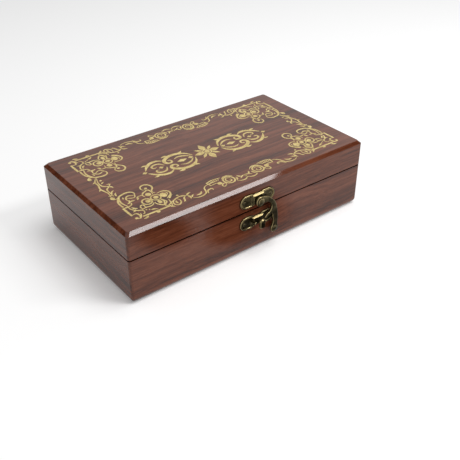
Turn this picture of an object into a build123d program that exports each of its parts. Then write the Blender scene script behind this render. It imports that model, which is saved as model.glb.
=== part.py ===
from build123d import *

import os
from math import cos, hypot, radians, sin

# A hinged wooden storage box for game tiles, in millimetres.
# X runs right along the front, Y runs to the back, Z is up, and the origin is
# the middle of the flat underside.

# Case
case_length = 220.0
case_depth = 123.0
case_height = 58.5
seam_height = 36.6  # middle of the gap between the two rims
rim_gap = 0.6
wall = 8.0
bottom_board_thickness = 6.0
top_panel_thickness = 6.0
corner_radius = 2.0
foot_rounding = 5.0
top_chamfer = 2.4
top_edge_softening = 0.4
lid_rim_chamfer = 0.5

# Lining and divider
felt = 1.0
divider_thickness = 3.0
divider_drop = 4.0  # divider's top edge below the base rim
groove_depth = 1.5  # housing of the divider's ends in the side walls
lid_felt_margin = 1.0

# Fit between pieces that are put together
fit = 0.05

# Hinges
hinge_length = 30.0
hinge_inset = 40.0  # hinge centre from the end of the case
leaf_thickness = 0.9
leaf_width = 6.2  # let into the wall
barrel_radius = 1.9
hinge_pin_radius = 0.9
pin_clearance = 0.05
pin_head_thickness = 0.5
pin_head_radius = 1.3
barrel_standoff = 0.3  # barrel from the back face
knuckle_count = 5
knuckle_gap = 0.2
stop_angle = 95.0
stop_length = 2.0
stop_thickness = 0.8
stop_gap = 0.2  # left between the stops when the lid is fully open
leaf_screw_spacing = 18.0
leaf_screw_radius = 0.8
leaf_screw_head_radius = 1.5
leaf_screw_length = 9.0
slot_width = 0.4
slot_depth = 0.35

# Latch plates
plate_half_length = 16.2
plate_lobe_radius = 5.45
plate_shoulder = 6.6  # where the lobes' straight sides end, from the middle
latch_plate_waist = 9.4
catch_plate_waist = 8.2
plate_thickness = 1.5
plate_dish = 0.6
plate_rim = 1.1
plate_edge = 0.7
plate_inner_edge = 0.3
nail_spacing = 24.4
nail_radius = 0.7
nail_length = 6.5
nail_head_radius = 1.2
nail_head_rise = 0.4
latch_plate_rise = 9.0  # its middle above the seam
catch_plate_drop = 9.6  # its middle below the seam
boss_foot_length = 12.4
boss_top_length = 8.4
boss_slope = 1.0  # its long sides lean in by this much
boss_rise = 0.8

# Hook
pivot_drop = 1.2  # pivot below the middle of the upper plate
hook_thickness = 2.5
hook_rounding = 0.7
hook_play = 0.15  # between hook and plate, and between hook and rivet head
hook_eye_radius = 3.9
hook_tail_radius = 3.5
hook_bead_radius = 2.5
hook_bead_rise = 0.7
rivet_radius = 1.3
rivet_head_radius = 2.6
rivet_head_edge = 0.3
rivet_head_rise = 0.5
peen_depth = 0.2  # how far the rivet, the stud and the stop pin stop short of the wood
prong_bearing = -71.0  # from the pivot to the prong's tip, in degrees
prong_heading = -130.0  # the way the prong points
prong_tip_radius = 0.9
notch_bearing = -55.0  # from the pivot to the middle of the notch
notch_turn = 135.0  # how far the notch wraps round the stud

# The hook's curves leave the eye and the tail at these bearings round their centres.
eye_back = 78.0
eye_front = -52.0
tail_back = 22.0
tail_front = 152.0

# Points that the hook's curves pass through, right of and above the pivot, as
# multiples of the distance from the pivot to the stud.
arm_back = [
    (0.909, -1.269),
    (0.920, -1.052),
    (0.899, -0.788),
    (0.835, -0.471),
    (0.687, -0.159),
    (0.434, 0.069),
]
arm_crook = [(0.259, -0.132), (0.418, -0.153), (0.539, -0.286), (0.576, -0.455), (0.486, -0.634)]
neck_front = [(0.682, -1.089), (0.672, -1.243)]
tail_middle = (0.767, -1.517)

# Stud on the lower plate
stud_offset = 0.7  # to the right of the middle
stud_drop = 1.5  # below the middle of the lower plate
stud_radius = 1.0
stud_head_size = (5.3, 8.2)
stud_head_thickness = 1.8
stud_head_corner = 2.2
stud_head_bevel = 0.8
stud_head_gap = 0.45  # between the hook's face and the back of the head
stud_clearance = 0.3  # round the stud, for the hook

# Stop pin on the lower plate, which the prong meets when the hook is swung in
stop_pin_bearing = -111.5  # from the pivot, in degrees
stop_pin_radius = 1.0
stop_pin_rounding = 0.5
stop_pin_length = 7.2  # out from the wood

# Places that follow from the sizes above
half_length = case_length / 2
half_depth = case_depth / 2
inner_length = case_length - 2 * wall
inner_depth = case_depth - 2 * wall
base_rim = seam_height - rim_gap / 2
lid_rim = seam_height + rim_gap / 2
lid_ceiling = case_height - top_panel_thickness
barrel_y = half_depth + barrel_standoff + barrel_radius
latch_plate_height = seam_height + latch_plate_rise
catch_plate_height = seam_height - catch_plate_drop
pivot_height = latch_plate_height - pivot_drop
stud_height = catch_plate_height - stud_drop
hook_back = plate_thickness + boss_rise + hook_play
hook_front = hook_back + hook_thickness
stud_reach = hypot(stud_offset, pivot_height - stud_height)
prong_reach = stud_reach - stud_radius - stud_clearance

# The front face: local x is the case's X, local y its Z, and local z points out of the box.
front_face = Plane(origin=(0, -half_depth, 0), x_dir=(1, 0, 0), z_dir=(0, -1, 0))

pieces = {}


def polar(radius, angle):
    """A point on a circle round the origin, with the angle in degrees."""
    return (radius * cos(radians(angle)), radius * sin(radians(angle)))


def block(x, y, z):
    """A box from its lowest to its highest value along each axis."""
    size = (x[1] - x[0], y[1] - y[0], z[1] - z[0])
    centre = ((x[0] + x[1]) / 2, (y[0] + y[1]) / 2, (z[0] + z[1]) / 2)
    return Pos(*centre) * Box(*size)


def rod(axis_from, axis_to, radius):
    """A cylinder between two points."""
    start = Vector(*axis_from)
    run = Vector(*axis_to) - start
    return extrude(Plane(origin=start, z_dir=run) * Circle(radius), run.length)


# ---------------------------------------------------------------- wooden case


def mitred_sides(low, high):
    """Four mitred boards round the case between two heights. The lid's have a chamfered rim."""
    outside = RectangleRounded(case_length, case_depth, corner_radius)
    ring = Pos(0, 0, low) * extrude(outside - Rectangle(inner_length, inner_depth), high - low)
    if low == lid_rim:
        outer_edges = [
            edge
            for edge in ring.edges().group_by(Axis.Z)[0]
            if max(abs(edge.center().X) - half_length, abs(edge.center().Y) - half_depth) > -wall / 2
        ]
        ring = chamfer(outer_edges, lid_rim_chamfer)
    sides = {}
    corners = {
        "front": ((-1, -1), (1, -1)),
        "right": ((1, -1), (1, 1)),
        "back": ((1, 1), (-1, 1)),
        "left": ((-1, 1), (-1, -1)),
    }
    for name, (start, end) in corners.items():
        outer = [(s * (half_length + wall), t * (half_depth + wall)) for s, t in (start, end)]
        inner = [(s * (half_length - wall), t * (half_depth - wall)) for s, t in (end, start)]
        wedge = extrude(make_face(Polyline(*outer, *inner, close=True)), case_height)
        sides[name] = ring & wedge
    return sides


def bottom_board():
    """The bottom, with a large rounding along its lower edges and a small one up its corners."""
    board = block((-half_length, half_length), (-half_depth, half_depth), (0, bottom_board_thickness))
    board = fillet(board.edges().group_by(Axis.Z)[0], foot_rounding)
    corner_edges = [
        edge
        for edge in board.edges()
        if half_length - abs(edge.center().X) < wall and half_depth - abs(edge.center().Y) < wall
    ]
    return fillet(corner_edges, corner_radius)


def top_panel():
    """The lid's panel, with a chamfer that goes round the corners."""
    outline = RectangleRounded(case_length, case_depth, corner_radius)
    inset = 2 * top_chamfer
    smaller = RectangleRounded(case_length - inset, case_depth - inset, corner_radius)
    chamfer_foot = case_height - top_chamfer
    panel = Pos(0, 0, lid_ceiling) * extrude(outline, top_panel_thickness - top_chamfer)
    panel += loft([(Pos(0, 0, chamfer_foot) * outline).face(), (Pos(0, 0, case_height) * smaller).face()])
    return fillet(panel.edges().group_by(Axis.Z)[-1], top_edge_softening)


def case_pieces():
    """Bottom board, walls and divider of the base, and panel and rails of the lid."""
    base = mitred_sides(bottom_board_thickness, base_rim)
    lid = mitred_sides(lid_rim, lid_ceiling)
    half_groove = divider_thickness / 2 + fit
    groove_top = base_rim - divider_drop
    end = inner_length / 2
    for name, sign in (("left", -1), ("right", 1)):
        span = sorted((sign * end, sign * (end + groove_depth + fit)))
        base[name] -= block(span, (-half_groove, half_groove), (bottom_board_thickness, groove_top))
    pieces["bottom_board"] = bottom_board()
    pieces["lid_top_panel"] = top_panel()
    for name in base:
        pieces[f"base_{name}_wall"] = base[name]
        pieces[f"lid_{name}_rail"] = lid[name]
    divider_end = end + groove_depth
    half_divider = divider_thickness / 2
    pieces["bay_divider"] = block(
        (-divider_end, divider_end), (-half_divider, half_divider), (bottom_board_thickness, groove_top)
    )


def felt_pieces():
    """Felt on the floor and walls of both bays, and under the lid."""
    end = inner_length / 2
    top = base_rim - divider_drop
    floor = bottom_board_thickness + felt
    for bay, side in (("front_bay", -1), ("back_bay", 1)):
        near = side * divider_thickness / 2
        far = side * inner_depth / 2
        lined = side * (inner_depth / 2 - felt)
        pieces[f"{bay}_floor_felt"] = block(
            (-end, end), sorted((near, far)), (bottom_board_thickness, floor)
        )
        pieces[f"{bay}_wall_felt"] = block((-end, end), sorted((lined, far)), (floor, top))
        for name, sign in (("left", -1), ("right", 1)):
            span = sorted((sign * end, sign * (end - felt)))
            pieces[f"{bay}_{name}_felt"] = block(span, sorted((near, lined)), (floor, top))
    half_x = inner_length / 2 - lid_felt_margin
    half_y = inner_depth / 2 - lid_felt_margin
    pieces["lid_felt"] = block((-half_x, half_x), (-half_y, half_y), (lid_ceiling - felt, lid_ceiling))


# -------------------------------------------------------------------- hinges


def leaf_screw(x, y, face, up):
    """A countersunk screw driven into a rim: up is -1 into the base and 1 into the lid."""
    cone_depth = leaf_screw_head_radius - leaf_screw_radius
    head = Pos(0, 0, -cone_depth / 2) * Cone(leaf_screw_radius, leaf_screw_head_radius, cone_depth)
    slot = Pos(0, 0, -slot_depth / 2) * Box(2 * leaf_screw_head_radius, slot_width, slot_depth)
    shank = rod((0, 0, -leaf_screw_length), (0, 0, -cone_depth), leaf_screw_radius)
    screw = head + shank - slot
    if up > 0:
        screw = Rot(180, 0, 0) * screw
    return Pos(x, y, face) * screw


def screw_hole(x, y, face, up):
    """Room for a screw in the leaf and in the wood behind it."""
    cone_depth = leaf_screw_head_radius - leaf_screw_radius
    shank_radius = leaf_screw_radius + fit
    head = Pos(0, 0, -cone_depth / 2) * Cone(shank_radius, leaf_screw_head_radius + fit, cone_depth)
    hole = head + rod((0, 0, -leaf_screw_length - fit), (0, 0, 0), shank_radius)
    if up > 0:
        hole = Rot(180, 0, 0) * hole
    return Pos(x, y, face) * hole


def stop_plate(x_span, start, up):
    """The strip behind the barrel that meets its twin when the lid is fully open."""
    reach = barrel_radius + knuckle_gap + stop_length
    low = stop_gap / 2
    strip = block(x_span, (start, reach), (low, low + stop_thickness))
    strip = Rot(stop_angle / 2, 0, 0) * strip
    if up < 0:
        strip = mirror(strip, Plane.XY)
    return Pos(0, barrel_y, seam_height) * strip


def hinge_leaf(centre, up):
    """One leaf with its knuckles and stop: up is -1 for the base's leaf and 1 for the lid's."""
    half = hinge_length / 2
    face = base_rim if up < 0 else lid_rim
    thick = sorted((face, face + up * leaf_thickness))
    inner_y = half_depth - leaf_width
    clear_y = barrel_y - barrel_radius - knuckle_gap
    leaf = block((centre - half, centre + half), (inner_y, clear_y), thick)
    leaf += stop_plate((centre - half, centre + half), barrel_radius + knuckle_gap, up)
    pitch = hinge_length / knuckle_count
    first = 0 if up < 0 else 1
    for index in range(first, knuckle_count, 2):
        low = centre - half + index * pitch + knuckle_gap / 2
        high = low + pitch - knuckle_gap
        leaf += rod((low, barrel_y, seam_height), (high, barrel_y, seam_height), barrel_radius)
        leaf += block((low, high), (clear_y, barrel_y), thick)
        leaf += stop_plate((low, high), 0, up)
    bore = hinge_pin_radius + pin_clearance
    leaf -= rod((centre - half, barrel_y, seam_height), (centre + half, barrel_y, seam_height), bore)
    for x, y in leaf_screw_places(centre):
        leaf -= screw_hole(x, y, face, up)
    return leaf


def leaf_screw_places(centre):
    """Plan positions of the two screws in one leaf."""
    y = half_depth - leaf_width / 2
    return [(centre + sign * leaf_screw_spacing / 2, y) for sign in (-1, 1)]


def hinge_pin(centre):
    """A pin through all the knuckles, with a head at each end."""
    half = hinge_length / 2 + fit
    left_end = (centre - half, barrel_y, seam_height)
    pin = rod(left_end, (centre + half, barrel_y, seam_height), hinge_pin_radius)
    for sign in (-1, 1):
        head_start = (centre + sign * half, barrel_y, seam_height)
        head_end = (centre + sign * (half + pin_head_thickness), barrel_y, seam_height)
        pin += rod(head_start, head_end, pin_head_radius)
    return pin


def hinge_pieces():
    """Both hinges, let into the rims of the two back boards."""
    half = hinge_length / 2
    inner_y = half_depth - leaf_width
    for name, side in (("left", -1), ("right", 1)):
        centre = side * (half_length - hinge_inset)
        for part, board, face, up in (
            ("base", "base_back_wall", base_rim, -1),
            ("lid", "lid_back_rail", lid_rim, 1),
        ):
            span = sorted((face, face + up * leaf_thickness))
            recess = block(
                (centre - half - fit, centre + half + fit), (inner_y - fit, half_depth + fit), span
            )
            pieces[board] -= recess
            screws = []
            for x, y in leaf_screw_places(centre):
                pieces[board] -= screw_hole(x, y, face, up)
                screws.append(leaf_screw(x, y, face, up))
            pieces[f"{name}_hinge_{part}_leaf"] = hinge_leaf(centre, up)
            pieces[f"{name}_hinge_{part}_screws"] = Compound(children=screws)
        pieces[f"{name}_hinge_pin"] = hinge_pin(centre)


# --------------------------------------------------------------------- latch


def plate_outline(height, waist, shrink):
    """Two round lobes joined by a waist, drawn in the front face."""
    lobe_x = plate_half_length - plate_lobe_radius
    outline = Pos(0, height) * Rectangle(2 * lobe_x, waist - 2 * shrink)
    lobe = SlotCenterToCenter(lobe_x - plate_shoulder, 2 * (plate_lobe_radius - shrink))
    for sign in (-1, 1):
        outline += Pos(sign * (lobe_x + plate_shoulder) / 2, height) * lobe
    return outline


def nail_places(height):
    """The two nails of a plate, in the front face."""
    return [(sign * nail_spacing / 2, height) for sign in (-1, 1)]


def lobed_plate(height, waist, holes):
    """A dished plate with a raised middle, nail holes in its lobes and holes for its pins."""
    plate = extrude(plate_outline(height, waist, 0), plate_thickness)
    plate = fillet(plate.edges().group_by(Axis.Z)[-1], plate_edge)
    seat = plate_thickness - plate_dish
    dish = Pos(0, 0, seat) * extrude(plate_outline(height, waist, plate_rim), plate_dish)
    dish = chamfer(dish.edges().group_by(Axis.Z)[0], plate_inner_edge)
    foot = Pos(0, height, seat) * Rectangle(boss_foot_length, waist)
    top = Pos(0, height, plate_thickness + boss_rise) * Rectangle(boss_top_length, waist - 2 * boss_slope)
    plate = plate - dish + loft([foot.face(), top.face()])
    nail_holes = [(place, nail_radius) for place in nail_places(height)]
    for place, radius in [*holes, *nail_holes]:
        plate -= Pos(*place) * extrude(Circle(radius + fit), plate_thickness + boss_rise)
    return plate


def plate_nails(height):
    """Dome-headed nails through a plate's lobes into the wood."""
    nails = []
    seat = plate_thickness - plate_dish
    for x, y in nail_places(height):
        shank = Pos(x, y, seat - nail_length) * extrude(Circle(nail_radius), nail_length)
        nails.append(shank + Pos(x, y, seat) * dome(nail_head_radius, nail_head_rise))
    return nails


def dome(radius, rise):
    """A flat-bottomed cap of a sphere."""
    sphere_radius = (radius**2 + rise**2) / (2 * rise)
    ball = Pos(0, 0, rise - sphere_radius) * Sphere(sphere_radius)
    return ball & extrude(Circle(radius), rise)


def round_point(centre, radius, angle):
    """A point on a circle round a given centre."""
    return Vector(*centre) + Vector(*polar(radius, angle))


def hook_points(ratios):
    """Places in the hook's plane from multiples of the distance to the stud."""
    return [(stud_reach * x, stud_reach * y) for x, y in ratios]


def hook_outline():
    """Eye, crescent arm, prong, notch and tail of the hook as one closed line round the pivot."""
    eye_top = round_point((0, 0), hook_eye_radius, eye_back)
    eye_left = round_point((0, 0), hook_eye_radius, (eye_back + eye_front) / 2 + 180)
    eye_low = round_point((0, 0), hook_eye_radius, eye_front)
    eye = ThreePointArc(eye_top, eye_left, eye_low)

    # The prong's outer edge and its tip stay on a circle round the pivot, clear of the stud.
    tip = polar(prong_reach - prong_tip_radius, prong_bearing)
    tip_start = prong_heading - 90
    tip_left = round_point(tip, prong_tip_radius, tip_start)
    tip_end = round_point(tip, prong_tip_radius, (tip_start + prong_bearing) / 2)
    tip_low = round_point(tip, prong_tip_radius, prong_bearing)
    tip_round = ThreePointArc(tip_left, tip_end, tip_low)

    # The notch takes the stud when the hook is swung in.
    notch_radius = stud_radius + stud_clearance
    seat = polar(stud_reach, notch_bearing)
    notch_stop = notch_bearing + 180 - notch_turn
    notch_start = round_point(seat, notch_radius, notch_bearing + 180)
    notch_middle = round_point(seat, notch_radius, notch_bearing + 180 - notch_turn / 2)
    notch_end = round_point(seat, notch_radius, notch_stop)
    prong = ThreePointArc(tip_low, polar(prong_reach, (prong_bearing + notch_bearing) / 2), notch_start)
    notch = ThreePointArc(notch_start, notch_middle, notch_end)

    tail = hook_points([tail_middle])[0]
    tail_left = round_point(tail, hook_tail_radius, tail_front)
    tail_low = round_point(tail, hook_tail_radius, (tail_front + tail_back) / 2 + 180)
    tail_right = round_point(tail, hook_tail_radius, tail_back)
    tail_round = ThreePointArc(tail_left, tail_low, tail_right)

    # Each curve leaves a round stretch along its tangent and meets the next one the same way.
    back_ends = [polar(1, tail_back + 90), polar(1, eye_back + 90)]
    crook_ends = [polar(1, eye_front + 90), polar(1, prong_heading)]
    neck_ends = [polar(1, notch_stop - 90), polar(1, tail_front + 90)]
    back = Spline(tail_right, *hook_points(arm_back), eye_top, tangents=back_ends)
    crook = Spline(eye_low, *hook_points(arm_crook), tip_left, tangents=crook_ends)
    neck = Spline(notch_end, *hook_points(neck_front), tail_left, tangents=neck_ends)
    return make_face([back, eye, crook, tip_round, prong, notch, neck, tail_round])


def hook():
    """The swinging hook, rounded on both faces, with a bead on its tail and a hole for the rivet."""
    body = Pos(0, 0, hook_back) * extrude(hook_outline(), hook_thickness)
    body = fillet(body.edges().group_by(Axis.Z)[-1] + body.edges().group_by(Axis.Z)[0], hook_rounding)
    tail_x, tail_y = hook_points([tail_middle])[0]
    body += Pos(tail_x, tail_y, hook_front) * dome(hook_bead_radius, hook_bead_rise)
    body -= Pos(0, 0, hook_back) * extrude(Circle(rivet_radius + pin_clearance), hook_thickness)
    return Pos(0, pivot_height) * body


def rivet():
    """The pivot: peened into the upper plate, with a domed head over the hook's eye."""
    top = hook_front + hook_play
    shank = Pos(0, 0, peen_depth) * extrude(Circle(rivet_radius), top - peen_depth)
    head = Pos(0, 0, top) * extrude(Circle(rivet_head_radius), rivet_head_edge)
    head += Pos(0, 0, top + rivet_head_edge) * dome(rivet_head_radius, rivet_head_rise)
    return Pos(0, pivot_height) * (shank + head)


def stud():
    """A round post with an upright oval head that the hook passes behind."""
    head_back = hook_front + stud_head_gap
    width, height = stud_head_size
    outline = RectangleRounded(width, height, stud_head_corner)
    head = Pos(0, 0, head_back) * extrude(outline, stud_head_thickness)
    head = chamfer(head.edges().group_by(Axis.Z)[-1], stud_head_bevel)
    post = Pos(0, 0, peen_depth) * extrude(Circle(stud_radius), head_back - peen_depth)
    return Pos(stud_offset, stud_height) * (post + head)


def stop_pin_place():
    """Where the stop pin stands in the front face."""
    x, y = polar(prong_reach - prong_tip_radius, stop_pin_bearing)
    return (x, pivot_height + y)


def stop_pin():
    """A round peg beside the stud, with a rounded end."""
    pin = Pos(0, 0, peen_depth) * extrude(Circle(stop_pin_radius), stop_pin_length - peen_depth)
    pin = fillet(pin.edges().group_by(Axis.Z)[-1], stop_pin_rounding)
    return Pos(*stop_pin_place()) * pin


def latch_pieces():
    """Both plates with their nails on the front face, and the hook, its rivet and its stud."""
    for plate, board, height in (
        ("latch_plate", "lid_front_rail", latch_plate_height),
        ("catch_plate", "base_front_wall", catch_plate_height),
    ):
        for x, y in nail_places(height):
            hole = Pos(x, y, -nail_length) * extrude(Circle(nail_radius + fit), nail_length)
            pieces[board] -= front_face * hole
        pieces[f"{plate}_nails"] = Compound(children=[front_face * nail for nail in plate_nails(height)])
    pivot_hole = ((0, pivot_height), rivet_radius)
    stud_hole = ((stud_offset, stud_height), stud_radius)
    pin_hole = (stop_pin_place(), stop_pin_radius)
    latch = lobed_plate(latch_plate_height, latch_plate_waist, [pivot_hole])
    catch = lobed_plate(catch_plate_height, catch_plate_waist, [stud_hole, pin_hole])
    pieces["latch_plate"] = front_face * latch
    pieces["latch_hook"] = front_face * hook()
    pieces["latch_rivet"] = front_face * rivet()
    pieces["catch_plate"] = front_face * catch
    pieces["catch_stud"] = front_face * stud()
    pieces["catch_stop_pin"] = front_face * stop_pin()


case_pieces()
felt_pieces()
hinge_pieces()
latch_pieces()

os.makedirs("parts", exist_ok=True)
for name, piece in pieces.items():
    export_step(piece, f"parts/{name}.step")
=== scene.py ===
import math

import bmesh
import bpy
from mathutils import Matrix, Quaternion, Vector, noise
from mathutils.geometry import normal as face_normal


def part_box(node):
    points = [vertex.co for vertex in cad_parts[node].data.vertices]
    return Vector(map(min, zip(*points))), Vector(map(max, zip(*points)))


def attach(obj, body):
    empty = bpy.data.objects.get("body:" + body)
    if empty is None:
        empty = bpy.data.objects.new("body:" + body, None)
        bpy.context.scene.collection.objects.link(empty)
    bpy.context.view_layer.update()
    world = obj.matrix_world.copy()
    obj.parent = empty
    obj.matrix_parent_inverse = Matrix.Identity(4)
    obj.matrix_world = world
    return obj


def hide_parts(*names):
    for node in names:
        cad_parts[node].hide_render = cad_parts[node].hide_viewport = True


# A lacquered wooden box with a brass hook latch and gold ornament on its lid, in metres,
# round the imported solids. X runs right along the front, Y to the hinges and Z up.

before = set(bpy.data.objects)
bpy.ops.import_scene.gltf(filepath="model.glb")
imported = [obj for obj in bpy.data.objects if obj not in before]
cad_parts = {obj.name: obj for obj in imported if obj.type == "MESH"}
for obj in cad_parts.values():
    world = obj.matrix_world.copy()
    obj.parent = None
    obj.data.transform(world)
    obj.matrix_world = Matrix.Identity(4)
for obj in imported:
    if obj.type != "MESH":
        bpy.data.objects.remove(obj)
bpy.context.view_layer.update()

MM = 0.001

# Camera
CAMERA_PLACE = Vector((-0.28145, -0.39067, 0.30970))
CAMERA_AIM = Vector((-0.0002, -0.0295, 0.0))
CAMERA_LENS = 53.95  # millimetres, on a sensor 36 mm wide

# Lid, whose ornament is drawn in millimetres
LID_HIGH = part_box("lid_top_panel")[1]
HALF_LENGTH = LID_HIGH[0] / MM
HALF_DEPTH = LID_HIGH[1] / MM
LID_TOP = LID_HIGH[2] / MM

# Gold ink
INK_EDGE = 0.02  # above the lid
INK_CROWN = 0.06
INK_STEP = 0.6  # between the points along a stroke
INK_SWELL = 3.2  # how steeply a stroke widens from its ends
LEAF_STEP = 0.45
LEAF_TIP = 0.08  # width at a leaf's ends, as a share of its own
LEAF_BELLY = 0.75  # under 1, a leaf is widest nearer its root

# Felt sheets, in millimetres
FELT_SOFT_EDGE = 0.6
FELT_EDGE_STEP = 0.15
FELT_STEP = 4
FELT_WAVE = 0.05
FELT_WAVES_PER_MM = 0.11
FELT_EDGE_HEIGHT = 0.55  # share of its thickness
FELT_CROWN_HEIGHT = 0.4  # what its face has above its edge


# ------------------------------------------------------------------- materials


class Finish:
    """One procedural material. Its methods add a node and give back that node's output."""

    def __init__(self, name):
        self.material = bpy.data.materials.new(name)
        self.material.use_nodes = True
        self.tree = self.material.node_tree
        self.shader = self.tree.nodes["Principled BSDF"]
        self.place = self.add("ShaderNodeTexCoord").outputs["Object"]

    def add(self, kind, inputs=(), **settings):
        made = self.tree.nodes.new(kind)
        for name, value in settings.items():
            setattr(made, name, value)
        for name, value in dict(inputs).items():
            self.put(made.inputs[name], value)
        return made

    def put(self, socket, value):
        if isinstance(value, bpy.types.NodeSocket):
            self.tree.links.new(value, socket)
        else:
            socket.default_value = value

    def give(self, **values):
        """Sets the shader's inputs, with underscores for the spaces in their names."""
        for name, value in values.items():
            self.put(self.shader.inputs[name.replace("_", " ")], value)

    def math(self, operation, first, second=0.0):
        made = self.add("ShaderNodeMath", {0: first, 1: second}, operation=operation, use_clamp=False)
        return made.outputs[0]

    def vector_math(self, operation, first, second=(0, 0, 0)):
        return self.add("ShaderNodeVectorMath", {0: first, 1: second}, operation=operation)

    def spread(self, value, low, high):
        """A value from 0 to 1 brought between low and high."""
        limits = {"Value": value, "To Min": low, "To Max": high}
        return self.add("ShaderNodeMapRange", limits).outputs["Result"]

    def between(self, value, low, high):
        """0 below low, 1 above high, and smooth between them."""
        limits = {"Value": value, "From Min": low, "From Max": high}
        return self.add("ShaderNodeMapRange", limits, interpolation_type="SMOOTHSTEP").outputs["Result"]

    def scaled(self, place, scale, turn=0.0, shift=(0, 0, 0)):
        inputs = {"Vector": place, "Scale": scale, "Rotation": (0, 0, turn), "Location": shift}
        return self.add("ShaderNodeMapping", inputs).outputs["Vector"]

    def noise(self, place, scale, detail=2.0, roughness=0.5, distortion=0.0):
        inputs = {
            "Vector": place,
            "Scale": scale,
            "Detail": detail,
            "Roughness": roughness,
            "Distortion": distortion,
        }
        return self.add("ShaderNodeTexNoise", inputs).outputs["Fac"]

    def mix(self, factor, first, second, blend_type="MIX"):
        made = self.add("ShaderNodeMix", data_type="RGBA", blend_type=blend_type)
        self.put(made.inputs[0], factor)
        self.put(made.inputs[6], first)
        self.put(made.inputs[7], second)
        return made.outputs[2]

    def ramp(self, value, stops):
        made = self.add("ShaderNodeValToRGB", {"Fac": value})
        points = made.color_ramp.elements
        while len(points) < len(stops):
            points.new(0.5)
        for point, (position, colour) in zip(points, stops):
            point.position = position
            point.color = colour
        return made.outputs["Color"]

    def openness(self, distance, samples):
        """0 in a crevice narrower than the distance, and 1 in the open."""
        inputs = {"Distance": distance}
        return self.add("ShaderNodeAmbientOcclusion", inputs, samples=samples).outputs["AO"]

    def bump(self, height, distance, strength=1.0):
        inputs = {"Height": height, "Distance": distance, "Strength": strength}
        return self.add("ShaderNodeBump", inputs).outputs["Normal"]


def rgb(red, green, blue):
    return (red, green, blue, 1.0)


def lacquered_wood(name, turn=0.0, shift=(0, 0, 0)):
    """Reddish brown wood under gloss lacquer, with painted shade in narrow gaps.

    turn is the grain's angle from X, and shift picks the board.
    """
    f = Finish(name)
    place = f.scaled(f.place, (1 / MM, 1 / MM, 1 / MM), turn, shift)
    sway = f.noise(place, 0.012, 2.0)
    lift = {"Y": f.math("MULTIPLY", sway, 14), "Z": f.math("MULTIPLY", sway, 10)}
    aside = f.add("ShaderNodeCombineXYZ", lift).outputs[0]
    swayed = f.vector_math("ADD", place, aside).outputs["Vector"]
    bands = f.noise(f.scaled(swayed, (0.025, 1, 1)), 0.10, 2.0, 0.5)
    streaks = f.noise(f.scaled(swayed, (0.03, 1, 1)), 0.45, 4.0, 0.65)
    fibre = f.noise(f.scaled(swayed, (0.04, 1, 1)), 1.7, 3.0, 0.65)
    tone = f.math("MULTIPLY", bands, 0.33)
    tone = f.math("ADD", tone, f.math("MULTIPLY", streaks, 0.40))
    tone = f.math("ADD", tone, f.math("MULTIPLY", fibre, 0.27))
    wood = f.ramp(
        tone,
        [
            (0.38, rgb(0.042, 0.012, 0.006)),
            (0.46, rgb(0.092, 0.024, 0.0105)),
            (0.53, rgb(0.138, 0.039, 0.018)),
            (0.64, rgb(0.200, 0.064, 0.032)),
        ],
    )
    pores = f.noise(f.scaled(swayed, (0.10, 1, 1)), 2.3, 1.0)
    pore = f.between(pores, 0.60, 0.72)
    wood = f.mix(f.math("MULTIPLY", pore, 0.38), wood, rgb(0.030, 0.010, 0.006))
    # Painted shade: the wood turns near black where other surfaces lie within 1.6 mm, as in the seam under
    # the lid and round the brass plates.
    crevice = f.math("SUBTRACT", 1.0, f.between(f.openness(1.6 * MM, 8), 0.25, 0.85))
    wood = f.mix(f.math("MULTIPLY", crevice, 0.9), wood, rgb(0.008, 0.003, 0.002))
    f.give(
        Base_Color=wood,
        Roughness=0.5,
        Specular_IOR_Level=0.0,
        Coat_Weight=1.0,
        Coat_Roughness=0.06,
        Coat_IOR=1.40,
        Normal=f.bump(f.math("SUBTRACT", f.math("MULTIPLY", fibre, 0.35), pore), 0.02 * MM, 0.4),
        Coat_Normal=f.bump(streaks, 0.03 * MM, 0.12),
    )
    return f.material


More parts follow.
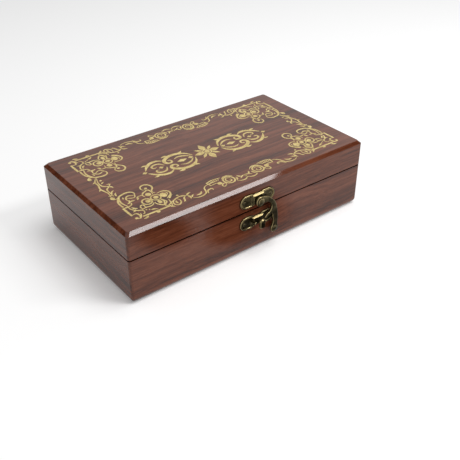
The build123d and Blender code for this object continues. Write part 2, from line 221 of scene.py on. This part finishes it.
def antique_brass(name, level=1.0, wear_and_highlight=rgb(0.66, 0.52, 0.25)):
    """Cast brass: near black in its hollows and between close parts, partly patina and partly painted
    shade, and pale along its edges, partly wear and partly a painted highlight.

    level is the brightness of its faces.
    """
    f = Finish(name)
    place = f.scaled(f.place, (1 / MM, 1 / MM, 1 / MM))
    patina = f.noise(place, 0.22, 2.0, 0.5)
    specks = f.noise(place, 1.6, 2.0, 0.5)
    tones = [
        (0.36, (0.040, 0.032, 0.015)),
        (0.50, (0.084, 0.068, 0.034)),
        (0.64, (0.140, 0.114, 0.058)),
    ]
    body = f.ramp(patina, [(stop, rgb(*(level * part for part in tone))) for stop, tone in tones])
    # Partly wear and partly a painted highlight: edges and fillet bands are given a pale gold, where they
    # would catch the lamps.
    rounded = f.add("ShaderNodeBevel", {"Radius": 0.7 * MM}, samples=12).outputs["Normal"]
    true_normal = f.add("ShaderNodeNewGeometry").outputs["True Normal"]
    agree = f.vector_math("DOT_PRODUCT", rounded, true_normal).outputs["Value"]
    sharp = f.between(f.math("SUBTRACT", 1.0, agree), 0.008, 0.08)
    own = f.add("ShaderNodeVectorTransform", {"Vector": true_normal}, vector_type="NORMAL")
    own.convert_from, own.convert_to = "WORLD", "OBJECT"
    frontal = f.math("ABSOLUTE", f.add("ShaderNodeSeparateXYZ", {0: own.outputs[0]}).outputs["Y"])
    soft = f.math("SUBTRACT", f.between(frontal, 0.20, 0.45), f.between(frontal, 0.55, 0.76))
    edge = f.math("MAXIMUM", sharp, f.math("MULTIPLY", soft, 0.75))
    # Partly patina and partly painted shade: near black where other surfaces lie within 2.2 mm, in the
    # hollows and between the hook, stud and plates.
    openness = f.openness(2.2 * MM, 12)
    proud = f.between(openness, 0.50, 0.80)
    metal = f.mix(f.math("MULTIPLY", edge, proud), body, wear_and_highlight)
    patina_and_shade = f.math("SUBTRACT", 1.0, f.between(openness, 0.30, 0.74))
    metal = f.mix(patina_and_shade, metal, rgb(0.010, 0.008, 0.005))
    f.give(
        Base_Color=metal,
        Metallic=1.0,
        Roughness=f.spread(specks, 0.26, 0.42),
        Normal=f.bump(specks, 0.02 * MM, 0.12),
    )
    return f.material


def gold_ink(name):
    """Flat gold print, with a little wear."""
    f = Finish(name)
    place = f.scaled(f.place, (1 / MM, 1 / MM, 1 / MM))
    wear = f.noise(place, 0.35, 4.0, 0.7)
    grain = f.noise(place, 2.4, 2.0, 0.6)
    tones = [(0.30, rgb(0.42, 0.30, 0.10)), (0.50, rgb(0.58, 0.44, 0.16)), (0.68, rgb(0.74, 0.60, 0.25))]
    f.give(
        Base_Color=f.ramp(wear, tones),
        Metallic=0.35,
        Roughness=0.38,
        Normal=f.bump(grain, 0.02 * MM, 0.4),
    )
    return f.material


def felt_cloth(name):
    """Burgundy felt with a short, clumped nap."""
    f = Finish(name)
    place = f.scaled(f.place, (1 / MM, 1 / MM, 1 / MM))
    clumps = f.noise(place, 0.6, 4.0, 0.7)
    nap = f.noise(place, 4.5, 4.0, 0.75)
    colour = f.ramp(clumps, [(0.3, rgb(0.10, 0.008, 0.014)), (0.7, rgb(0.19, 0.016, 0.028))])
    f.give(
        Base_Color=colour,
        Roughness=0.95,
        Specular_IOR_Level=0.1,
        Sheen_Weight=0.35,
        Sheen_Roughness=0.4,
        Normal=f.bump(nap, 0.25 * MM, 0.9),
    )
    return f.material


def paint(node, material):
    """Gives a solid of the frame its only material."""
    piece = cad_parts[node]
    piece.data.materials.clear()
    piece.data.materials.append(material)


def dress_solids():
    """Gives each solid its material. Every board has its own stretch of the wood."""
    across = math.radians(90)
    brass = antique_brass("antique_brass")
    # The nails and screws are darker brass; the last colour is the dimmer pale of their edges, partly wear
    # and partly a painted highlight.
    dark_brass = antique_brass("dark_brass", 0.35, rgb(0.16, 0.13, 0.07))
    for index, node in enumerate(sorted(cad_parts)):
        if "felt" in node:
            continue
        if node.endswith(("_wall", "_rail", "_board", "_panel", "_divider")):
            turn = across if "left" in node or "right" in node else 0.0
            shift = (index * 37.0, index * 53.0, index * 29.0)
            paint(node, lacquered_wood(f"wood_{node}", turn, shift))
        elif "nails" in node or "screws" in node:
            paint(node, dark_brass)
        else:
            paint(node, brass)


# ----------------------------------------------------------------- gold ornament


def smooth(points, step=INK_STEP):
    """A Catmull-Rom curve through the points, sampled evenly."""
    points = [Vector(point) for point in points]
    before = points[0] * 2 - points[1]
    after = points[-1] * 2 - points[-2]
    ends = [before, *points, after]
    path = []
    for a, b, c, d in zip(ends, ends[1:], ends[2:], ends[3:]):
        count = max(2, round((c - b).length / step))
        for index in range(count):
            t = index / count
            slope = (c - a) * t
            bend = (2 * a - 5 * b + 4 * c - d) * t**2
            twist = (3 * b - a - 3 * c + d) * t**3
            path.append(0.5 * (2 * b + slope + bend + twist))
    path.append(points[-1])
    return path


class Ink:
    """Printed strokes gathered into one mesh.

    Points are in millimetres, from the lid's corner or its middle.
    """

    def __init__(self, name, turn_x=1, turn_y=1, from_middle=False):
        self.name = name
        self.turn = (turn_x, turn_y)
        self.origin = Vector((0, 0)) if from_middle else Vector((HALF_LENGTH, HALF_DEPTH))
        self.mesh = bmesh.new()

    def point(self, place, rise):
        """A vertex at a place in plan, above the lid by the rise."""
        spot = Vector(place) - self.origin
        x, y = spot.x * self.turn[0], spot.y * self.turn[1]
        return self.mesh.verts.new((x * MM, y * MM, (LID_TOP + rise) * MM))

    def face(self, corners):
        """A face that looks up, also where its motif is mirrored."""
        if face_normal(*[corner.co for corner in corners]).z < 0:
            corners = corners[::-1]
        self.mesh.faces.new(corners)

    def ribbon(self, path, halves, closed=False):
        """A strip along a path, with a low ridge along its middle."""
        rows = []
        last = len(path) - 1
        for index, spot in enumerate(path):
            if closed:
                run = path[(index + 1) % len(path)] - path[index - 1]
            else:
                run = path[min(index + 1, last)] - path[max(index - 1, 0)]
            side = Vector((-run.y, run.x)).normalized() * halves[index]
            across = ((spot - side, INK_EDGE), (spot, INK_CROWN), (spot + side, INK_EDGE))
            rows.append([self.point(place, rise) for place, rise in across])
        if closed:
            rows.append(rows[0])
        for this, following in zip(rows, rows[1:]):
            for a, b in ((0, 1), (1, 2)):
                self.face([this[a], this[b], following[b], following[a]])

    def line(self, points, width=1.0, blunt=0.4):
        """A stroke that swells from both ends. blunt is the share of its width that its ends keep."""
        path = smooth(points)
        last = len(path) - 1
        swells = [min(1, INK_SWELL * min(k, last - k) / last) for k in range(last + 1)]
        self.ribbon(path, [width / 2 * (blunt + (1 - blunt) * swell) for swell in swells])

    def leaf(self, root, tip, width=1.4, bend=0.12):
        """A leaf from its root to its pointed tip, bent to its left."""
        root, tip = Vector(root), Vector(tip)
        run = tip - root
        middle = (root + tip) / 2 + Vector((-run.y, run.x)) * bend
        path = smooth([root, middle, tip], LEAF_STEP)
        last = len(path) - 1
        bellies = [math.sin(math.pi * (k / last) ** LEAF_BELLY) for k in range(last + 1)]
        self.ribbon(path, [width / 2 * max(LEAF_TIP, belly) for belly in bellies])

    def oval(self, centre, radii, sides):
        """The points round an oval."""
        points = []
        for index in range(sides):
            angle = 2 * math.pi * index / sides
            points.append(Vector(centre) + Vector((radii[0] * math.cos(angle), radii[1] * math.sin(angle))))
        return points

    def spot(self, centre, radii, sides=14):
        """A filled oval with a low crown."""
        rim = [self.point(place, INK_EDGE) for place in self.oval(centre, radii, sides)]
        crown = self.point(centre, INK_CROWN)
        for a, b in zip(rim, rim[1:] + rim[:1]):
            self.face([crown, a, b])

    def ring(self, centre, radii, width=0.9):
        """An oval line."""
        sides = 28
        self.ribbon(self.oval(centre, radii, sides), [width / 2] * sides, closed=True)

    def lozenge(self, centre, radii):
        """A filled diamond."""
        self.spot(centre, radii, sides=4)

    def finish(self, material):
        """Makes the object, which rides on the lid."""
        data = bpy.data.meshes.new(self.name)
        self.mesh.to_mesh(data)
        self.mesh.free()
        for face in data.polygons:
            face.use_smooth = True
        data.materials.append(material)
        made = bpy.data.objects.new(self.name, data)
        bpy.context.scene.collection.objects.link(made)
        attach(made, "lid")
        return made


def corner_bracket(ink):
    """The straight bars along both edges, and the curl that turns the corner."""
    ink.line([(20.8, 12.4), (42.4, 12.4)], 1.6, 0.8)
    ink.line([(15.1, 17.3), (15.1, 28.7)], 1.7, 0.8)
    ink.line([(14.1, 28.7), (20.8, 28.7)], 1.3, 0.6)
    ink.line([(42.9, 11.2), (42.9, 13.6)], 1.2, 0.6)
    ink.spot((32.2, 11.1), (1.5, 1.3))
    ink.leaf((24.2, 11.0), (19.6, 9.4), 1.7)
    ink.leaf((42.4, 11.4), (45.0, 9.4), 1.5)
    ink.line([(15.7, 17.9), (18.6, 18.2), (19.7, 16.3), (19.4, 13.5), (17.9, 11.6), (16.3, 12.2)], 1.2)
    ink.spot((16.2, 13.0), (1.2, 1.2))
    ink.line([(21.3, 17.0), (21.0, 15.1), (19.5, 12.5), (18.2, 11.2)], 0.8)


def corner_vine(ink):
    """The vine inside the bracket, with its loop, leaves and buds."""
    stem = [(18.9, 29.7), (18.7, 26.2), (19.7, 23.3), (21.7, 20.8), (24.3, 19.5), (24.8, 17.3)]
    ink.line([*stem, (23.8, 15.1), (22.4, 15.1)], 1.1)
    ink.line([(24.3, 19.8), (26.8, 20.5), (28.7, 20.8), (31.9, 20.3), (34.4, 21.1), (36.3, 23.0)], 1.1)
    ink.line([(25.6, 20.1), (25.4, 23.0), (26.8, 24.9), (28.4, 24.6), (28.4, 22.4), (27.8, 20.1)], 1.0)
    ink.leaf((21.4, 23.0), (18.0, 20.8), 1.5)
    ink.leaf((23.3, 23.0), (20.2, 27.2), 1.4)
    ink.leaf((29.5, 16.2), (34.2, 13.8), 1.5)
    ink.spot((27.0, 18.2), (0.6, 0.6))
    ink.spot((28.9, 17.1), (0.6, 0.6))


def corner_scroll(ink):
    """The large C-scroll beside the flower, with its inner scrolls, trefoil and beaded line."""
    outer = [(19.2, 29.7), (18.1, 33.8), (17.9, 36.7), (18.7, 40.8), (20.5, 44.0), (23.7, 45.4)]
    ink.line([*outer, (27.5, 45.9), (30.3, 44.9), (31.6, 42.7), (31.3, 40.5), (30.2, 39.8)], 1.5)
    inner = [(30.2, 39.8), (28.4, 40.5), (26.5, 41.4), (24.6, 40.8), (23.2, 38.9), (23.0, 36.7)]
    ink.line([*inner, (23.8, 34.4)], 1.1)
    ink.line([(23.7, 39.2), (25.6, 37.9), (27.1, 37.1), (29.0, 37.0), (30.3, 38.6), (31.0, 40.5)], 1.0)
    ink.leaf((22.1, 41.9), (20.9, 38.9), 1.2)
    ink.leaf((23.3, 33.5), (20.2, 32.3), 1.5)
    ink.leaf((23.3, 33.5), (27.2, 33.2), 1.5)
    ink.leaf((23.3, 33.0), (24.2, 36.0), 1.3)
    ink.line([(23.5, 32.2), (22.1, 29.7), (19.5, 28.7)], 1.0)
    ink.line([(30.6, 36.3), (32.5, 36.3), (34.8, 36.0)], 1.0)
    ink.leaf((30.4, 36.2), (28.7, 32.4), 1.6)
    ink.line([(19.2, 43.0), (17.3, 39.8), (16.2, 37.3), (15.9, 33.8), (16.0, 30.0)], 0.8)
    for place in smooth([(18.4, 41.6), (17.3, 39.8), (16.2, 37.3), (15.9, 33.8), (16.0, 31.0)], 2.3):
        ink.spot(place, (0.75, 0.75))
    ink.spot((16.0, 44.6), (1.6, 1.5))
    ink.line([(18.9, 43.0), (16.7, 42.7), (14.8, 44.6), (15.7, 46.5), (17.3, 46.5)], 1.0)


def corner_flower(ink):
    """The four-petalled flower, with a curl over its top petal."""
    heart = (40.8, 27.8)
    ink.spot(heart, (1.9, 1.9))
    ink.ring(heart, (3.6, 3.6), 0.9)
    ink.ring((32.9, 26.8), (3.5, 3.8), 1.1)
    ink.spot((33.8, 26.8), (1.9, 2.0))
    right = [(44.0, 31.9), (47.8, 32.5), (51.0, 31.3), (52.5, 28.7), (51.6, 25.5), (49.4, 24.0)]
    ink.line([*right, (46.5, 22.0)], 1.3)
    ink.spot((46.9, 27.4), (2.4, 3.2))
    ink.line([(49.6, 30.4), (50.4, 28.2), (49.4, 25.8)], 0.7)
    top = [(35.1, 32.5), (34.8, 35.7), (36.7, 38.2), (39.2, 39.2), (40.8, 40.1), (42.1, 38.9), (42.2, 35.7)]
    ink.line([*top, (41.4, 32.5)], 1.2)
    ink.spot((38.6, 34.4), (2.1, 2.3))
    low = [(37.0, 23.0), (36.7, 20.5), (38.3, 17.9), (40.2, 16.0), (42.1, 18.6), (42.7, 21.1), (42.1, 23.6)]
    ink.line(low, 1.2)
    ink.spot((40.0, 21.3), (1.5, 2.3))
    ink.line([(44.0, 26.8), (42.4, 24.3), (43.3, 21.4), (44.0, 18.9), (42.1, 16.7), (40.2, 14.4)], 0.9)
    ink.leaf((47.6, 20.8), (52.2, 24.2), 2.0)
    curl = [(43.7, 33.2), (42.9, 35.7), (43.7, 37.9), (45.6, 40.1), (46.5, 43.0), (45.2, 46.2)]
    ink.line([*curl, (42.4, 47.6), (39.5, 46.5), (38.3, 44.0), (38.9, 41.7), (40.8, 41.4)], 1.3)
    ink.spot((41.6, 42.6), (1.2, 1.1))


def corner_links(ink):
    """The stems and the looped leaf that join the flower to the long side's vine."""
    low = [(39.8, 14.1), (42.4, 13.8), (45.9, 15.7), (47.8, 16.3), (51.0, 17.9), (54.1, 18.4), (57.3, 17.3)]
    ink.line(low, 1.1)
    ink.line([(46.5, 20.5), (45.9, 17.3), (44.9, 13.5), (43.3, 10.6)], 0.9)
    loop = [(48.1, 16.3), (46.5, 14.1), (46.5, 11.2), (48.7, 10.0), (51.3, 11.6), (52.2, 14.4)]
    ink.line([*loop, (51.6, 17.3)], 1.1)
    ink.leaf((49.0, 11.6), (49.8, 16.0), 1.5)
    ink.spot((54.1, 20.8), (0.9, 0.9))
    ink.line([(57.3, 16.7), (55.4, 13.5), (54.4, 10.6)], 0.9)
    ink.leaf((55.6, 13.6), (52.9, 10.6), 1.2)


def long_side_vine(ink):
    """From the corner to the middle of the long side: leaves, a hatched ribbon, a swirl and the link."""
    ink.line([(51.4, 18.2), (55.4, 18.6), (59.4, 16.6)], 1.1)
    ink.leaf((59.2, 16.6), (64.0, 18.8), 1.5)
    ink.line([(58.6, 17.0), (55.8, 15.0), (54.6, 12.2)], 0.9)
    ink.leaf((59.8, 16.4), (59.4, 11.0), 1.7)
    ink.leaf((61.2, 12.4), (64.3, 15.2), 1.3)
    stem = [(61.4, 11.4), (63.7, 9.8), (68.1, 9.4), (72.1, 11.0), (73.7, 13.8), (74.8, 17.0), (77.2, 19.0)]
    ink.line([*stem, (80.0, 19.7)], 1.1)
    ink.line([(64.9, 12.6), (68.5, 12.6), (70.9, 15.0)], 1.5, 0.2)
    ink.line([(73.3, 9.4), (74.8, 12.6), (77.2, 13.8), (79.2, 13.4), (78.8, 11.4)], 1.2)
    upper = [(80.0, 21.7), (85.2, 22.9), (92.7, 22.1)]
    lower = [(80.4, 19.4), (85.2, 20.1), (89.5, 19.7)]
    ink.line(upper, 1.0)
    ink.line(lower, 0.9)
    ink.line([(80.8, 17.0), (85.6, 17.4), (87.1, 16.6)], 0.9)
    ink.line([(80.0, 22.1), (80.8, 16.6)], 1.1, 0.8)
    for near, far in zip(smooth(lower, 1.5), smooth(upper, 1.9)):
        ink.line([near, far], 0.55, 0.8)
    ink.spot((87.9, 15.8), (2.0, 1.8))
    ink.line([(91.1, 11.4), (91.5, 13.8), (89.1, 13.8), (87.5, 11.8), (88.7, 10.2), (91.1, 11.8)], 1.0)
    ink.ring((96.3, 15.8), (4.4, 4.6), 1.2)
    swirl = [(98.6, 18.0), (95.6, 18.8), (93.9, 16.4), (94.9, 13.8), (97.3, 13.8), (98.1, 15.8)]
    ink.line([*swirl, (96.5, 16.4)], 1.0)
    ink.line([(91.9, 18.2), (94.2, 21.2), (98.6, 21.4), (102.0, 18.8)], 0.9)
    ink.leaf((102.8, 16.2), (100.4, 11.4), 1.5)
    ink.line([(100.6, 11.0), (103.8, 9.4), (107.0, 9.4), (110.0, 11.4)], 1.1)
    ink.line([(104.6, 12.2), (107.0, 14.2), (110.0, 15.0)], 1.0)
    ink.leaf((106.6, 14.4), (104.4, 17.6), 1.4)
    ink.spot((110.0, 13.2), (1.0, 1.1))


def short_side_vine(ink):
    """Two stems that wind past each other between the corners of a short side."""
    outer = [(20.4, 77.5), (17.2, 72.0), (16.9, 66.7), (15.6, 61.6), (16.6, 55.9), (17.2, 52.7)]
    ink.line([*outer, (16.2, 47.4)], 1.2)
    inner = [(21.0, 77.0), (18.6, 70.1), (18.8, 64.1), (22.0, 60.9), (19.1, 58.1), (18.5, 53.3)]
    ink.line([*inner, (18.3, 46.6)], 1.1)
    ink.leaf((15.8, 61.8), (13.2, 58.9), 1.4)
    ink.spot((21.7, 72.0), (0.9, 0.9))
    ink.leaf((19.8, 67.2), (22.8, 69.0), 1.3)
    ink.line([(22.6, 61.3), (24.4, 63.8), (22.3, 64.4)], 1.1)
    ink.leaf((22.6, 61.0), (23.8, 57.0), 1.4)
    ink.line([(22.3, 54.6), (19.8, 52.7), (18.8, 50.1)], 1.2, 0.2)
    ink.leaf((19.9, 45.9), (22.0, 50.8), 1.4)
    ink.leaf((18.3, 49.6), (14.8, 49.0), 1.3)
    ink.leaf((17.3, 72.9), (14.6, 71.0), 1.3)


def middle_flourish(ink):
    """A quarter of the flourish in the middle of the lid, drawn from the lid's middle."""
    ink.leaf((2.8, 2.6), (7.8, 7.2), 2.6, 0.0)
    outer = [(12.5, 2.0), (15.5, 7.4), (21.5, 11.2), (28.5, 11.4), (34.4, 8.4), (36.2, 4.6), (34.2, 2.0)]
    ink.line([*outer, (31.2, 2.6), (30.8, 5.4), (33.0, 6.2)], 3.0, 0.25)
    ink.line([(14.2, 1.4), (18.6, 5.2), (23.6, 6.6), (28.0, 5.0)], 1.5, 0.2)
    ink.leaf((20.6, 11.2), (15.8, 13.2), 2.2)
    ink.leaf((28.8, 11.8), (34.8, 12.8), 2.4)
    ink.line([(36.6, 8.2), (41.0, 10.8), (46.6, 10.2), (51.4, 6.8), (55.2, 2.0)], 2.6, 0.2)
    ink.line([(38.6, 1.6), (41.2, 5.6), (45.6, 6.4), (48.6, 4.2), (47.8, 1.8), (45.4, 2.2)], 1.7, 0.3)
    ink.leaf((49.6, 8.6), (54.8, 9.4), 1.8)


def gold_ornament():
    """The printed border, drawn once and mirrored to each corner, and the flourish in the middle."""
    gold = gold_ink("gold_ink")
    motifs = (corner_bracket, corner_vine, corner_scroll, corner_flower, corner_links, long_side_vine)
    for depth_name, turn_y in (("front", 1), ("back", -1)):
        for side_name, turn_x in (("left", 1), ("right", -1)):
            ink = Ink(f"gold_{depth_name}_{side_name}_corner", turn_x, turn_y)
            for motif in motifs:
                motif(ink)
            ink.finish(gold)
    for side_name, turn_x in (("left", 1), ("right", -1)):
        ink = Ink(f"gold_{side_name}_side_vine", turn_x)
        short_side_vine(ink)
        ink.finish(gold)
    ink = Ink("gold_middle_flourish", from_middle=True)
    for turn_x in (1, -1):
        for turn_y in (1, -1):
            ink.turn = (turn_x, turn_y)
            middle_flourish(ink)
    ink.spot((0, 0), (2.2, 2.2))
    ink.ring((0, 0), (3.4, 3.4), 1.0)
    for side in (1, -1):
        ink.leaf((3.2 * side, 0), (11.4 * side, 0), 4.8, 0.0)
        ink.leaf((0, 3.2 * side), (0, 12.4 * side), 5.2, 0.0)
    for x in (-57.0, -42.6, -15.8, 15.8, 42.6, 57.0):
        ink.lozenge((x, 0), (2.2, 1.7))
    for x in (-23.6, 23.6):
        ink.lozenge((x, 0), (4.6, 2.2))
    ink.finish(gold)


# ------------------------------------------------------------------------- felt


def felt_sheet(node, facing):
    """A glued sheet of felt in place of its plain solid: soft edges and a slightly uneven face."""
    low, high = (Vector(corner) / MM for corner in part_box(node))
    size = high - low
    facing = Vector(facing)
    flat_axes = [axis for axis in range(3) if not facing[axis]]
    u_axis, v_axis = sorted(flat_axes, key=lambda axis: -size[axis])
    thick_axis = 3 - u_axis - v_axis
    back = low if facing[thick_axis] > 0 else high

    def stations(length):
        count = round(length / FELT_STEP)
        span = length - 2 * FELT_SOFT_EDGE
        inner = [FELT_SOFT_EDGE + span * k / count for k in range(count + 1)]
        return [0.0, FELT_EDGE_STEP, *inner, length - FELT_EDGE_STEP, length]

    def rise(u, v):
        """Height of the felt's face over the wood."""
        inset = min(u, v, size[u_axis] - u, size[v_axis] - v)
        rounding = min(1.0, inset / FELT_SOFT_EDGE)
        waviness = FELT_WAVE * noise.noise(Vector((u, v, thick_axis)) * FELT_WAVES_PER_MM)
        share = FELT_EDGE_HEIGHT + FELT_CROWN_HEIGHT * math.sqrt(1 - (1 - rounding) ** 2)
        return size[thick_axis] * share + waviness * rounding

    def place(u, v, height):
        spot = Vector((0, 0, 0))
        spot[u_axis] = low[u_axis] + u
        spot[v_axis] = low[v_axis] + v
        spot[thick_axis] = back[thick_axis] + facing[thick_axis] * height
        return spot * MM

    mesh = bmesh.new()
    us, vs = stations(size[u_axis]), stations(size[v_axis])
    face = [[mesh.verts.new(place(u, v, rise(u, v))) for v in vs] for u in us]
    for row, following in zip(face, face[1:]):
        for k in range(len(vs) - 1):
            mesh.faces.new([row[k], row[k + 1], following[k + 1], following[k]])
    rim = [*face[0], *[row[-1] for row in face[1:]]]
    rim += [*face[-1][-2::-1], *[row[0] for row in face[-2:0:-1]]]
    foot = []
    for vertex in rim:
        foot_spot = vertex.co.copy()
        foot_spot[thick_axis] = back[thick_axis] * MM
        foot.append(mesh.verts.new(foot_spot))
    for k in range(len(rim)):
        mesh.faces.new([rim[k - 1], rim[k], foot[k], foot[k - 1]])
    mesh.faces.new(foot)
    bmesh.ops.recalc_face_normals(mesh, faces=mesh.faces)
    data = bpy.data.meshes.new(f"{node}_cloth")
    mesh.to_mesh(data)
    mesh.free()
    for polygon in data.polygons:
        polygon.use_smooth = True
    made = bpy.data.objects.new(f"{node}_cloth", data)
    bpy.context.scene.collection.objects.link(made)
    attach(made, "lid" if node.startswith("lid") else "base")
    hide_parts(node)
    return made


def felt_lining():
    """Burgundy felt in both bays and under the lid."""
    felt = felt_cloth("burgundy_felt")
    sheets = [felt_sheet("lid_felt", (0, 0, -1))]
    for bay, wall, facing in (("front_bay", "base_front_wall", 1), ("back_bay", "base_back_wall", -1)):
        sheets.append(felt_sheet(f"{bay}_floor_felt", (0, 0, 1)))
        sheets.append(felt_sheet(f"{bay}_wall_felt", (0, facing, 0)))
        sheets.append(felt_sheet(f"{bay}_left_felt", (1, 0, 0)))
        sheets.append(felt_sheet(f"{bay}_right_felt", (-1, 0, 0)))
    for sheet in sheets:
        sheet.data.materials.append(felt)


# ---------------------------------------------------------------- studio


def make_camera():
    """The camera at the photograph's angle."""
    data = bpy.data.cameras.new("camera")
    data.sensor_width = 36
    data.lens = CAMERA_LENS
    camera = bpy.data.objects.new("camera", data)
    bpy.context.scene.collection.objects.link(camera)
    camera.location = CAMERA_PLACE
    camera.rotation_mode = "QUATERNION"
    camera.rotation_quaternion = (CAMERA_AIM - CAMERA_PLACE).to_track_quat("-Z", "Y")
    bpy.context.scene.camera = camera


def softbox(name, azimuth, elevation, distance, size, radiance, roll=0.0):
    """A lamp that faces the box.

    Azimuth 0 is in front of the box and 90 to its right. All angles are in degrees.
    """
    turn, rise = math.radians(azimuth), math.radians(elevation)
    away = Vector((math.sin(turn) * math.cos(rise), -math.cos(turn) * math.cos(rise), math.sin(rise)))
    data = bpy.data.lights.new(name, "AREA")
    data.shape = "RECTANGLE"
    data.size, data.size_y = size
    data.energy = radiance * math.pi * size[0] * size[1]
    lamp = bpy.data.objects.new(name, data)
    bpy.context.scene.collection.objects.link(lamp)
    lamp.location = away * distance
    lamp.rotation_mode = "QUATERNION"
    rolled = Quaternion((0, 0, 1), math.radians(roll))
    lamp.rotation_quaternion = (-away).to_track_quat("-Z", "Y") @ rolled


def make_world(level):
    """White to the camera and in reflections, and a plain level of light for everything else."""
    world = bpy.data.worlds.new("studio")
    world.use_nodes = True
    tree = world.node_tree
    tree.nodes.clear()
    ray = tree.nodes.new("ShaderNodeLightPath")
    seen = tree.nodes.new("ShaderNodeMath")
    seen.operation = "MAXIMUM"
    tree.links.new(ray.outputs["Is Camera Ray"], seen.inputs[0])
    mirrored = tree.nodes.new("ShaderNodeMath")
    mirrored.operation = "MAXIMUM"
    tree.links.new(ray.outputs["Is Glossy Ray"], mirrored.inputs[0])
    tree.links.new(ray.outputs["Is Transmission Ray"], mirrored.inputs[1])
    tree.links.new(mirrored.outputs[0], seen.inputs[1])
    light = tree.nodes.new("ShaderNodeBackground")
    light.inputs["Strength"].default_value = level
    light.inputs["Color"].default_value = rgb(1, 1, 1)
    white = tree.nodes.new("ShaderNodeBackground")
    white.inputs["Color"].default_value = rgb(1, 1, 1)
    both = tree.nodes.new("ShaderNodeMixShader")
    out = tree.nodes.new("ShaderNodeOutputWorld")
    tree.links.new(seen.outputs[0], both.inputs[0])
    tree.links.new(light.outputs[0], both.inputs[1])
    tree.links.new(white.outputs[0], both.inputs[2])
    tree.links.new(both.outputs[0], out.inputs["Surface"])
    bpy.context.scene.world = world


def rectangle(name, size):
    """A flat rectangle round its own middle, facing up."""
    x, y = size[0] / 2, size[1] / 2
    mesh = bpy.data.meshes.new(name)
    mesh.from_pydata([(-x, -y, 0), (x, -y, 0), (x, y, 0), (-x, y, 0)], [], [(0, 1, 2, 3)])
    made = bpy.data.objects.new(name, mesh)
    bpy.context.scene.collection.objects.link(made)
    return made


def make_floor(size, glow):
    """White paper that keeps the shadow. glow lifts it to the background's white where it is lit."""
    floor = rectangle("floor", (size, size))
    f = Finish("white_paper")
    f.give(Base_Color=rgb(0.90, 0.90, 0.90), Roughness=0.9, Specular_IOR_Level=0.0)
    ray = f.add("ShaderNodeLightPath")
    seen = f.math("MAXIMUM", ray.outputs["Is Camera Ray"], ray.outputs["Is Glossy Ray"])
    seen = f.math("MAXIMUM", seen, ray.outputs["Is Transmission Ray"])
    f.give(Emission_Color=rgb(1, 1, 1), Emission_Strength=f.math("MULTIPLY", seen, glow))
    floor.data.materials.append(f.material)


def black_card(name, centre, facing, size, soft=False):
    """A dark card that only reflections show, as a photographer sets beside a glossy box.

    A soft one fades out from its middle, in an oval.
    """
    card = rectangle(name, size)
    card.location = centre
    card.rotation_mode = "QUATERNION"
    card.rotation_quaternion = Vector(facing).normalized().to_track_quat("Z", "Y")
    f = Finish(name)
    f.give(Base_Color=rgb(0.01, 0.01, 0.01), Roughness=1.0, Specular_IOR_Level=0.0)
    if soft:
        oval = f.scaled(f.place, (2 / size[0], 2 / size[1], 1))
        from_middle = f.vector_math("LENGTH", oval).outputs["Value"]
        f.give(Alpha=f.math("SUBTRACT", 1.0, f.between(from_middle, 0.35, 1.0)))
    card.data.materials.append(f.material)
    card.visible_camera = False
    card.visible_diffuse = False
    card.visible_shadow = False
    card.visible_transmission = False


def make_studio():
    """Camera, lamps, cards and floor, as they light the photograph."""
    make_camera()
    make_world(0.41)
    softbox("key", 38, 45.3, 1.25, (0.47, 0.21), 14.5, roll=-32)
    softbox("overhead", 45, 75, 1.3, (0.7, 0.7), 5.0)
    black_card("back_card", (-0.55, 0.65, 0.30), (0.6, -0.7, -0.2), (0.7, 0.5))
    black_card("right_card", (0.75, -0.42, 0.42), (-0.75, 0.42, -0.3), (0.45, 0.55))
    # These dim the front's mirror image of the floor, beside the latch and near the left corner.
    black_card("latch_card", (0.024, -0.106, 0.002), (0, 0, 1), (0.105, 0.095), soft=True)
    black_card("base_card", (-0.006, -0.087, 0.003), (0, 0, 1), (0.062, 0.044), soft=True)
    black_card("left_card", (-0.045, -0.120, 0.002), (0, 0, 1), (0.070, 0.060), soft=True)
    make_floor(6.0, 0.16)
    bpy.context.scene.view_settings.view_transform = "Standard"


dress_solids()
felt_lining()
gold_ornament()
make_studio()
